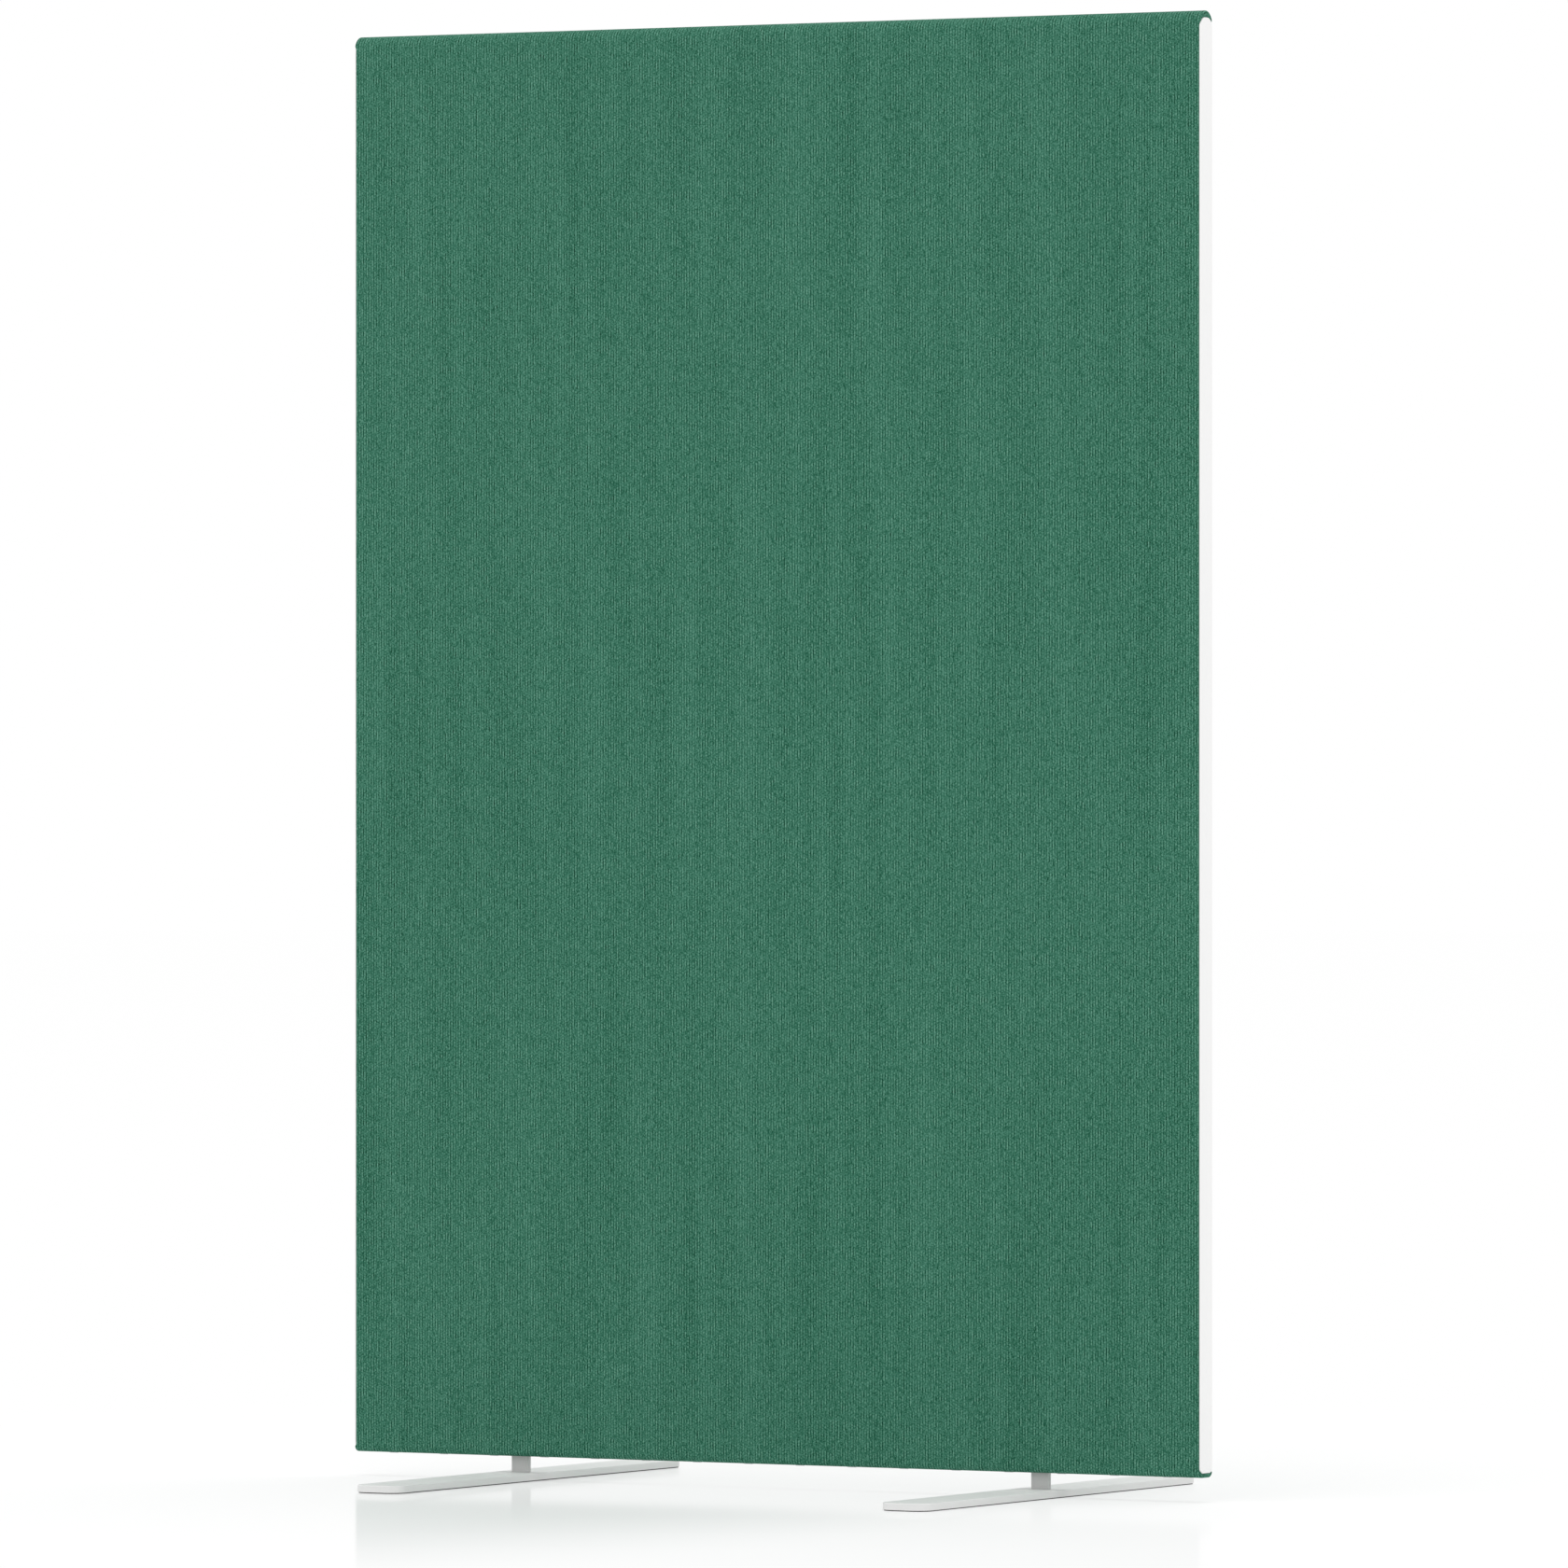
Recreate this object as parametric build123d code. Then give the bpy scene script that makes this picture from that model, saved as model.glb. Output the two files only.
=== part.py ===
from build123d import *
import os

# Office floor screen: an upholstered panel that stands on two flat steel feet.
# Millimetres. X runs along the panel, Y from front to back, Z up.
# The origin lies on the floor, midway between the feet.

# Panel
panel_width = 1000.0
panel_height = 1475.0
panel_thickness = 25.0
floor_gap = 25.0

# Cloth cover and the felt under it
cloth_thickness = 1.0
felt_thickness = 2.5
felt_seam_gap = 0.6

# Wooden frame, cut from board that fills the cover, and the boards in its openings
stile_width = 45.0
top_rail_width = 60.0
middle_rail_width = 45.0
bottom_rail_width = 70.0
frame_edge_radius = 2.5
foot_block_width = 110.0
foot_block_margin = 22.0
core_clearance = 0.3

# Dowels
dowel_diameter = 8.0
dowel_length = 36.0
dowel_end_chamfer = 1.0
dowel_fit = 0.1
dowel_spacing = 18.0
block_dowel_edge = 14.0

# Edge strips of plastic, each with a barbed leg in a saw kerf
strip_thickness = 1.5
strip_edge_radius = 0.7
strip_top_margin = 7.0
strip_bottom_margin = 4.5
strip_top_radius = 10.0
strip_bottom_radius = 5.5
strip_fit = 0.2
leg_thickness = 1.4
leg_depth = 9.0
leg_end_margin = 22.0
barb_depth = 0.6
barb_count = 3
barb_length_share = 0.8
kerf_fit = 0.15
kerf_extra_depth = 1.0

# Feet, each set in from the panel's end by the distance to the foot's middle
foot_inset = 192.5
foot_length = 578.0
foot_width = 55.0
foot_plate_thickness = 7.0
foot_corner_radius = 17.0
foot_edge_radius = 0.8
pad_thickness = 1.0
pad_inset = 1.2

# Foot bars, upright in the panel
bar_width = 20.0
bar_thickness = 5.0
bar_reach = 150.0
bar_end_chamfer = 1.5
bar_side_clearance = 0.3
bar_back_clearance = 0.2
plate_slot_fit = 0.15
cover_slot_fit = 0.8

# Weld seam round the bar's lower end
weld_root = 0.5
weld_face = 2.5
weld_depth = 2.5

# Socket plates that close the bars' grooves at the back, each with a folded tab on top
socket_plate_thickness = 1.5
socket_plate_side = 15.0
socket_plate_lift = 2.0
socket_plate_corner = 4.0
socket_plate_fit = 0.2
socket_screw_inset = 8.0
socket_row_margin = 13.0

# Countersunk wood screws of the socket plates
socket_screw_diameter = 3.5
socket_screw_head = 7.0
socket_screw_cover = 4.0
socket_screw_point = 2.5
screw_fit = 0.1
recess_width = 0.9
recess_depth = 1.0
recess_length_share = 0.7

# Leaf springs in front of the bars, and their screws
spring_room = 1.5
spring_thickness = 0.5
spring_width = 12.0
spring_bow_length = 44.0
spring_tab_length = 14.0
spring_bar_clearance = 0.1
spring_top_margin = 10.0
spring_screw_diameter = 2.2
spring_screw_head = 5.0
spring_screw_head_height = 0.9
spring_screw_cover = 3.3
spring_screw_point = 1.5

# Staples that hold the cover under the bottom rail
staple_wire = 0.7
staple_crown = 10.0
staple_leg = 8.0
staple_fit = 0.1
staple_end_margin = 40.0
staple_count = 16

# Overrun of every cutter past the face that it cuts
overrun = 5.0

# The panel's layers
panel_top = floor_gap + panel_height
cover_thickness = cloth_thickness + felt_thickness
cloth_end_thickness = cloth_thickness + strip_thickness
frame_half_length = panel_width / 2 - cloth_end_thickness
frame_thickness = panel_thickness - 2 * cover_thickness
frame_bottom = floor_gap + cover_thickness
frame_top = panel_top - cover_thickness

# The frame's inner edges
low_opening_z = frame_bottom + bottom_rail_width
high_opening_z = frame_top - top_rail_width
stile_inner_x = frame_half_length - stile_width
middle_rail_z = (low_opening_z + high_opening_z) / 2

# The bars stand behind the panel's mid-plane, against the socket plates. The feet are
# centred on the bars, so the panel stands this far forward of the origin.
bar_setback = (
    frame_thickness / 2 - socket_plate_thickness - bar_back_clearance - bar_thickness / 2
)
panel_y = -bar_setback
frame_back = panel_y + frame_thickness / 2
frame_front = panel_y - frame_thickness / 2
socket_plate_front = frame_back - socket_plate_thickness
bar_front = -bar_thickness / 2
groove_floor = bar_front - spring_room
foot_x = panel_width / 2 - foot_inset
foot_top = pad_thickness + foot_plate_thickness
bar_top = floor_gap + bar_reach
socket_plate_bottom = frame_bottom + frame_edge_radius + socket_plate_lift
socket_plate_top = bar_top + socket_plate_thickness
socket_plate_width = bar_width + 2 * socket_plate_side
foot_block_top = socket_plate_top + foot_block_margin

# The screws end inside the frame, short of its front face
socket_screw_length = frame_thickness - socket_screw_cover
spring_screw_length = groove_floor + spring_thickness - frame_front - spring_screw_cover

# The edge strips
strip_seat = panel_width / 2 - strip_thickness
strip_bottom = floor_gap + strip_bottom_margin
strip_top = panel_top - strip_top_margin
leg_bottom = strip_bottom + leg_end_margin
leg_top = strip_top - leg_end_margin
kerf_floor = strip_seat - leg_depth - kerf_extra_depth
kerf_half_width = leg_thickness / 2 + barb_depth + kerf_fit

SIDES = {"left": -1, "right": 1}


def span(x_limits, y_limits, z_limits):
    """Box between two limits along each axis."""
    limits = (x_limits, y_limits, z_limits)
    sizes = [high - low for low, high in limits]
    centre = [(low + high) / 2 for low, high in limits]
    return Pos(*centre) * Box(*sizes)


def around(middle, half):
    """Two limits at the same distance from a middle."""
    return (middle - half, middle + half)


def on_side(shape, side):
    """A shape built for the right side, mirrored if the left one is wanted."""
    return shape if side > 0 else mirror(shape, about=Plane.YZ)


def on_both(shape):
    """A shape built for the right side, with its mirror image."""
    return shape + mirror(shape, about=Plane.YZ)


def panel_block(inset, half_length):
    """The panel's section, drawn in by inset on all sides and run along X."""
    half = panel_thickness / 2 - inset
    low = floor_gap + inset
    high = panel_top - inset - half
    corner = frame_edge_radius + cover_thickness - inset
    flat = Pos(panel_y, (low + high) / 2) * Rectangle(2 * half, high - low)
    flat = fillet(flat.vertices().group_by(Axis.Y)[0], corner)
    section = flat + Pos(panel_y, high) * Circle(half)
    return extrude(Plane.YZ * section, amount=half_length, both=True)


def turned(outline):
    """Solid of revolution about Z from half an outline of (radius, height) points."""
    profile = make_face(Plane.XZ * Polyline(*outline, close=True))
    return revolve(profile, axis=Axis.Z)


def facing_back(shape, x, y, z):
    """A shape built along Z, placed so that its top faces the panel's back."""
    return Pos(x, y, z) * Rot(-90, 0, 0) * shape


# Edge strips


def strip_outline(grow, x_low, x_high):
    """The strip's rounded outline, grown all round, between two places along X."""
    outline = Rectangle(panel_thickness + 2 * grow, strip_top - strip_bottom + 2 * grow)
    outline = fillet(outline.vertices().group_by(Axis.Y)[-1], strip_top_radius + grow)
    outline = fillet(outline.vertices().group_by(Axis.Y)[0], strip_bottom_radius + grow)
    face = Plane.YZ * Pos(panel_y, (strip_top + strip_bottom) / 2) * outline
    return Pos(x_low, 0, 0) * extrude(face, amount=x_high - x_low)


def strip_leg():
    """Leg with barbs on both faces, which point back towards the strip."""
    half = leg_thickness / 2
    tip = strip_seat - leg_depth
    pitch = leg_depth / barb_count
    edge = []
    for number in range(barb_count):
        start = tip + number * pitch
        heel = start + pitch * barb_length_share
        edge += [(start, half), (heel, half + barb_depth), (heel, half)]
    edge.append((strip_seat, half))
    outline = edge + [(x, -y) for x, y in reversed(edge)]
    section = Pos(0, panel_y) * make_face(Polyline(*outline, close=True))
    return Pos(0, 0, leg_bottom) * extrude(section, amount=leg_top - leg_bottom)


def edge_strip():
    """Right edge strip: a flat cap with rounded outer edges, and its leg."""
    cap = strip_outline(0, strip_seat, panel_width / 2)
    cap = fillet(cap.faces().sort_by(Axis.X)[-1].edges(), strip_edge_radius)
    return cap + strip_leg()


def side_kerf():
    """Saw kerf in the panel's right side, cut through the cloth into the wood."""
    return span(
        (kerf_floor, strip_seat + overrun),
        around(panel_y, kerf_half_width),
        (leg_bottom - strip_fit, leg_top + strip_fit),
    )


# Screws


def countersunk_screw(grow=0.0):
    """Wood screw with its head's top at the origin, or the cutter of its hole."""
    head = socket_screw_head / 2 + grow
    shank = socket_screw_diameter / 2 + grow
    head_depth = (socket_screw_head - socket_screw_diameter) / 2
    end = -socket_screw_length - grow
    top = overrun if grow else 0
    outline = [(0, top), (head, top), (head, 0), (shank, -head_depth)]
    if not grow:
        outline.pop(1)
    outline += [(shank, end + socket_screw_point), (0, end)]
    return turned(outline)


def cross_recess():
    """Cross-shaped recess in a screw's head."""
    length = socket_screw_head * recess_length_share
    bar = Pos(0, 0, -recess_depth / 2) * Box(length, recess_width, recess_depth)
    return bar + Rot(0, 0, 90) * bar


def pan_head_screw(grow=0.0):
    """Small wood screw with a flat head, its head's underside at the origin."""
    head = spring_screw_head / 2
    shank = spring_screw_diameter / 2 + grow
    end = -spring_screw_length - grow
    point = (shank, end + spring_screw_point)
    if grow:
        return turned([(0, overrun), (shank, overrun), point, (0, end)])
    top = spring_screw_head_height
    return turned([(0, top), (head, top), (head, 0), (shank, 0), point, (0, end)])


def socket_screw_places():
    """Places of one socket plate's screws on the panel's right half, as (x, z)."""
    reach = socket_plate_width / 2 - socket_screw_inset
    rows = (
        socket_plate_bottom + socket_row_margin,
        low_opening_z - socket_row_margin,
        low_opening_z + socket_row_margin,
        socket_plate_top - socket_row_margin,
    )
    return [(foot_x + offset, z) for z in rows for offset in (-reach, reach)]


def at_socket_screws(shape):
    """Copies of a shape at every screw place of the right socket plate."""
    return [facing_back(shape, x, frame_back, z) for x, z in socket_screw_places()]


def spring_screw_place():
    """Middle of the right spring's tab, where its screw goes through."""
    z = bar_top - spring_top_margin - spring_tab_length / 2
    return (foot_x, groove_floor + spring_thickness, z)


# Socket for a foot bar


def socket_plate_outline(grow, y_low, y_high):
    """The right socket plate's rounded outline between two places along Y."""
    width = socket_plate_width + 2 * grow
    height = socket_plate_top - socket_plate_bottom + 2 * grow
    outline = RectangleRounded(width, height, socket_plate_corner + grow)
    middle = (socket_plate_top + socket_plate_bottom) / 2
    plate = extrude(Plane.XZ * outline, amount=y_low - y_high)
    return Pos(foot_x, y_low, middle) * plate


def bar_groove():
    """Groove for the right bar, its spring and the plate's tab, open at the back."""
    return span(
        around(foot_x, bar_width / 2 + bar_side_clearance),
        (groove_floor, frame_back + overrun),
        (frame_bottom - overrun, socket_plate_top + socket_plate_fit),
    )


def socket_cuts():
    """All that is cut from the wood for the right bar's socket."""
    recess = socket_plate_outline(socket_plate_fit, socket_plate_front, frame_back + overrun)
    cuts = bar_groove() + recess
    for hole in at_socket_screws(countersunk_screw(screw_fit)):
        cuts += hole
    return cuts + facing_back(pan_head_screw(screw_fit), *spring_screw_place())


def socket_plate():
    """Right socket plate, with the folded tab that rests on the bar's end."""
    plate = socket_plate_outline(0, socket_plate_front, frame_back)
    tab = span(
        around(foot_x, bar_width / 2),
        (groove_floor + socket_plate_fit, frame_back),
        (bar_top, socket_plate_top),
    )
    plate += tab
    for hole in at_socket_screws(countersunk_screw(screw_fit)):
        plate -= hole
    return plate


def bar_spring():
    """Right leaf spring: a tab flat on the groove's floor, and a bow towards the bar."""
    tab_top = bar_top - spring_top_margin
    bow_top = tab_top - spring_tab_length
    bow_bottom = bow_top - spring_bow_length
    bow_middle = (bow_top + bow_bottom) / 2
    rise = spring_room - spring_thickness - spring_bar_clearance
    near = groove_floor
    far = groove_floor + spring_thickness
    outline = [
        Line((near, tab_top), (far, tab_top)),
        Line((far, tab_top), (far, bow_top)),
        ThreePointArc((far, bow_top), (far + rise, bow_middle), (far, bow_bottom)),
        Line((far, bow_bottom), (near, bow_bottom)),
        ThreePointArc((near, bow_bottom), (near + rise, bow_middle), (near, bow_top)),
        Line((near, bow_top), (near, tab_top)),
    ]
    leaf = extrude(Plane.YZ * make_face(outline), amount=spring_width / 2, both=True)
    leaf = Pos(foot_x, 0, 0) * leaf
    return leaf - facing_back(pan_head_screw(screw_fit), *spring_screw_place())


# Staples and dowels


def staple(grow=0.0):
    """Staple with its crown's top at the origin and legs up, or the cutter of its legs."""
    half = staple_wire / 2 + grow
    reach = (staple_crown - staple_wire) / 2
    legs = [
        span(around(x, half), around(0, half), (-staple_wire, staple_leg + grow))
        for x in (-reach, reach)
    ]
    if grow:
        return legs
    crown = span(around(0, staple_crown / 2), around(0, half), (-staple_wire, 0))
    return [crown + legs[0] + legs[1]]


def at_staples(shapes):
    """Copies of shapes along the panel's underside, in front of the bars."""
    flat_half_width = frame_thickness / 2 - frame_edge_radius
    reach = frame_half_length - staple_end_margin
    step = 2 * reach / (staple_count - 1)
    row = Pos(-reach, panel_y - flat_half_width / 2, floor_gap)
    return [
        row * Pos(number * step, 0, 0) * shape
        for number in range(staple_count)
        for shape in shapes
    ]


def dowel(grow=0.0):
    """Dowel along Z, centred on the origin, or the cutter of its hole."""
    if grow:
        return Cylinder(dowel_diameter / 2 + grow, dowel_length + 2 * grow)
    peg = Cylinder(dowel_diameter / 2, dowel_length)
    return chamfer(peg.edges().filter_by(GeomType.CIRCLE), dowel_end_chamfer)


def dowel_places():
    """Where the dowels of the panel's right half cross the joints they hold."""
    stile_middle = (stile_inner_x + kerf_floor) / 2
    block_reach = foot_block_width / 2 - block_dowel_edge
    places = []
    for offset in around(0, dowel_spacing / 2):
        places.append(Pos(stile_middle + offset, panel_y, low_opening_z))
        places.append(Pos(stile_middle + offset, panel_y, high_opening_z))
        places.append(Pos(stile_inner_x, panel_y, middle_rail_z + offset) * Rot(0, 90, 0))
    for offset in around(foot_x, block_reach):
        places.append(Pos(offset, panel_y, low_opening_z))
    return places


def at_dowels(shape):
    """Copies of a shape at the places of all dowels."""
    right = [place * shape for place in dowel_places()]
    return right + [mirror(copy, about=Plane.YZ) for copy in right]


# Frame and filling


def frame_member(x_limits, z_limits, cuts):
    """A frame piece between limits along X and Z, as thick as the frame, less its cuts."""
    reach = around(panel_y, frame_thickness / 2 + overrun)
    member = panel_block(cover_thickness, frame_half_length) & span(x_limits, reach, z_limits)
    for cut in cuts:
        member -= cut
    return member


def core_board(z_limits):
    """Sound-absorbing board between the stiles."""
    low, high = z_limits
    return span(
        around(0, stile_inner_x - core_clearance),
        around(panel_y, frame_thickness / 2 - core_clearance),
        (low + core_clearance, high - core_clearance),
    )


def block_space():
    """Space that the lower board leaves for the right foot block."""
    return span(
        around(foot_x, foot_block_width / 2 + core_clearance),
        around(panel_y, frame_thickness),
        (low_opening_z - overrun, foot_block_top + core_clearance),
    )


def bar_slot():
    """Slot for the right bar in the cloth and felt under the panel."""
    return span(
        around(foot_x, bar_width / 2 + cover_slot_fit),
        around(0, bar_thickness / 2 + cover_slot_fit),
        (floor_gap - overrun, frame_bottom + frame_edge_radius),
    )


def cloth_cover():
    """The cloth: a thin closed shell with places for the strips, bars and staples."""
    cloth = panel_block(0, panel_width / 2) - panel_block(cloth_thickness, frame_half_length)
    pocket = strip_outline(strip_fit, strip_seat, strip_seat + overrun)
    for cut in (pocket, side_kerf(), bar_slot()):
        cloth -= on_both(cut)
    for hole in at_staples(staple(staple_fit)):
        cloth -= hole
    return cloth


def felt_half(y_limits):
    """Felt over one face of the frame, folded round its top and bottom edges."""
    outer = panel_block(cloth_thickness, frame_half_length)
    felt = outer - panel_block(cover_thickness, frame_half_length + overrun)
    length = around(0, frame_half_length + overrun)
    felt = felt & span(length, y_limits, (floor_gap, panel_top))
    felt -= on_both(bar_slot())
    for hole in at_staples(staple(staple_fit)):
        felt -= hole
    return felt


# Feet


def foot_outline(inset, z_low, z_high):
    """The right foot's rounded outline, drawn in by inset, between two heights."""
    outline = RectangleRounded(
        foot_width - 2 * inset, foot_length - 2 * inset, foot_corner_radius - inset
    )
    return Pos(foot_x, 0, z_low) * extrude(outline, amount=z_high - z_low)


def foot_bar():
    """Right foot bar, from the foot plate's underside up into the panel."""
    bar = span(
        around(foot_x, bar_width / 2), around(0, bar_thickness / 2), (pad_thickness, bar_top)
    )
    return chamfer(bar.faces().sort_by(Axis.Z)[-1].edges(), bar_end_chamfer)


def weld_groove():
    """Space round the right bar's lower end that the weld fills, narrower upwards."""
    root = Rectangle(bar_width + 2 * weld_root, bar_thickness + 2 * weld_root)
    face = Rectangle(bar_width + 2 * weld_face, bar_thickness + 2 * weld_face)
    groove = loft([face, Pos(0, 0, weld_depth) * root])
    return Pos(foot_x, 0, pad_thickness) * groove


def foot_plate():
    """Right foot plate, with the slot and weld groove for its bar."""
    plate = foot_outline(0, pad_thickness, foot_top)
    plate = fillet(plate.faces().sort_by(Axis.Z)[-1].edges(), foot_edge_radius)
    slot = span(
        around(foot_x, bar_width / 2 + plate_slot_fit),
        around(0, bar_thickness / 2 + plate_slot_fit),
        (0, foot_top + overrun),
    )
    return plate - slot - weld_groove()


def frame_parts():
    """The wooden frame, its dowels and the boards in it, by name."""
    holes = at_dowels(dowel(dowel_fit))
    kerfs = [on_both(side_kerf())]
    sockets = [on_both(socket_cuts())]
    full = around(0, frame_half_length)
    middle = around(middle_rail_z, middle_rail_width / 2)
    staple_holes = at_staples(staple(staple_fit))
    parts = {
        "top_rail": frame_member(full, (high_opening_z, frame_top), holes + kerfs),
        "bottom_rail": frame_member(
            full, (frame_bottom, low_opening_z), holes + kerfs + sockets + staple_holes
        ),
        "middle_rail": frame_member(around(0, stile_inner_x), middle, holes),
        "frame_dowels": Compound(children=at_dowels(dowel())),
        "upper_core": core_board((middle[1], high_opening_z)),
        "lower_core": core_board((low_opening_z, middle[0])) - on_both(block_space()),
    }
    stile = frame_member(
        (stile_inner_x, frame_half_length), (low_opening_z, high_opening_z), holes + kerfs
    )
    block = frame_member(
        around(foot_x, foot_block_width / 2), (low_opening_z, foot_block_top), holes + sockets
    )
    for name, side in SIDES.items():
        parts[f"{name}_stile"] = on_side(stile, side)
        parts[f"{name}_foot_block"] = on_side(block, side)
    return parts


def cover_parts():
    """Felt, cloth and staples, by name."""
    reach = panel_thickness + overrun
    seam = felt_seam_gap / 2
    return {
        "front_felt": felt_half((panel_y - reach, panel_y - seam)),
        "back_felt": felt_half((panel_y + seam, panel_y + reach)),
        "fabric_cover": cloth_cover(),
        "hem_staples": Compound(children=at_staples(staple())),
    }


def side_parts():
    """All pieces that the panel has once on its left and once on its right, by name."""
    right = {
        "edge_strip": edge_strip(),
        "socket_plate": socket_plate(),
        "bar_spring": bar_spring(),
        "foot_bar": foot_bar(),
        "foot_plate": foot_plate(),
        "bar_weld": weld_groove() - foot_bar(),
        "foot_pad": foot_outline(pad_inset, 0, pad_thickness),
    }
    return {
        f"{name}_{piece}": on_side(shape, side)
        for piece, shape in right.items()
        for name, side in SIDES.items()
    }


def screw_parts():
    """The two kinds of screw, each kind as one group, by name."""
    socket_screws = at_socket_screws(countersunk_screw() - cross_recess())
    spring_screw = facing_back(pan_head_screw(), *spring_screw_place())
    groups = {"socket_screws": socket_screws, "spring_screws": [spring_screw]}
    return {
        name: Compound(children=[on_side(screw, side) for screw in screws for side in (-1, 1)])
        for name, screws in groups.items()
    }


os.makedirs("parts", exist_ok=True)
for parts in (frame_parts(), cover_parts(), side_parts(), screw_parts()):
    for name, shape in parts.items():
        export_step(shape, f"parts/{name}.step")
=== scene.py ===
"""Office floor screen: cloth cover, finishes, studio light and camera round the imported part."""

from __future__ import annotations

import logging
import math
from abc import ABC, abstractmethod
from collections.abc import Iterable, Mapping
from dataclasses import dataclass, field, replace
from enum import Enum
from typing import Any

import bmesh
import bpy
from mathutils import Color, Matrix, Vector

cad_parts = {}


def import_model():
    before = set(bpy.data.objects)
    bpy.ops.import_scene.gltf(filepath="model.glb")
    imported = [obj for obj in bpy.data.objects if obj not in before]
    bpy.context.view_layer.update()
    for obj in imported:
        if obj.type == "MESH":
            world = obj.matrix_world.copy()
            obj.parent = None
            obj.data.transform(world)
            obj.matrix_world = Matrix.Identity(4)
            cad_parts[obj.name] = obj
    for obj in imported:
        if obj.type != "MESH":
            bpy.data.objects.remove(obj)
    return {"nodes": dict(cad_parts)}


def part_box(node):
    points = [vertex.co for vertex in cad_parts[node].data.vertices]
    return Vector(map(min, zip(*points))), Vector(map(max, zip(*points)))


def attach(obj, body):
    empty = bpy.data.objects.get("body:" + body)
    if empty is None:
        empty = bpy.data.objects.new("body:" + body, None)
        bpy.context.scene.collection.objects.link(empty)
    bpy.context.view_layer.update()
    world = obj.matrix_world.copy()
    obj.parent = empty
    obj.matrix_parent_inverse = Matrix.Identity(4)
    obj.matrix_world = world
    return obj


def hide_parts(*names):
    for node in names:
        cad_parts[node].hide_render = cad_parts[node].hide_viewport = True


LOG = logging.getLogger("floor_screen")
MM = 0.001
TOUCH = 1e-5
SCREEN_WHITE = 255
Pair = tuple[float, float]
Triple = tuple[float, float, float]
Colour = tuple[float, float, float, float]
Node = bpy.types.Node
Socket = bpy.types.NodeSocket
Sockets = Mapping[str, Socket]


def screen_colour(levels: Iterable[float]) -> Colour:
    """Turns a screen's red, green and blue, up to 255, into a shader's linear colour."""
    shown = Color([level / SCREEN_WHITE for level in levels])
    return (*shown.from_srgb_to_scene_linear(), 1.0)


def spaced(first: float, last: float, steps: int) -> list[float]:
    """Numbers at even steps from the first one to the last."""
    return [first + (last - first) * step / steps for step in range(steps + 1)]


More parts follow.
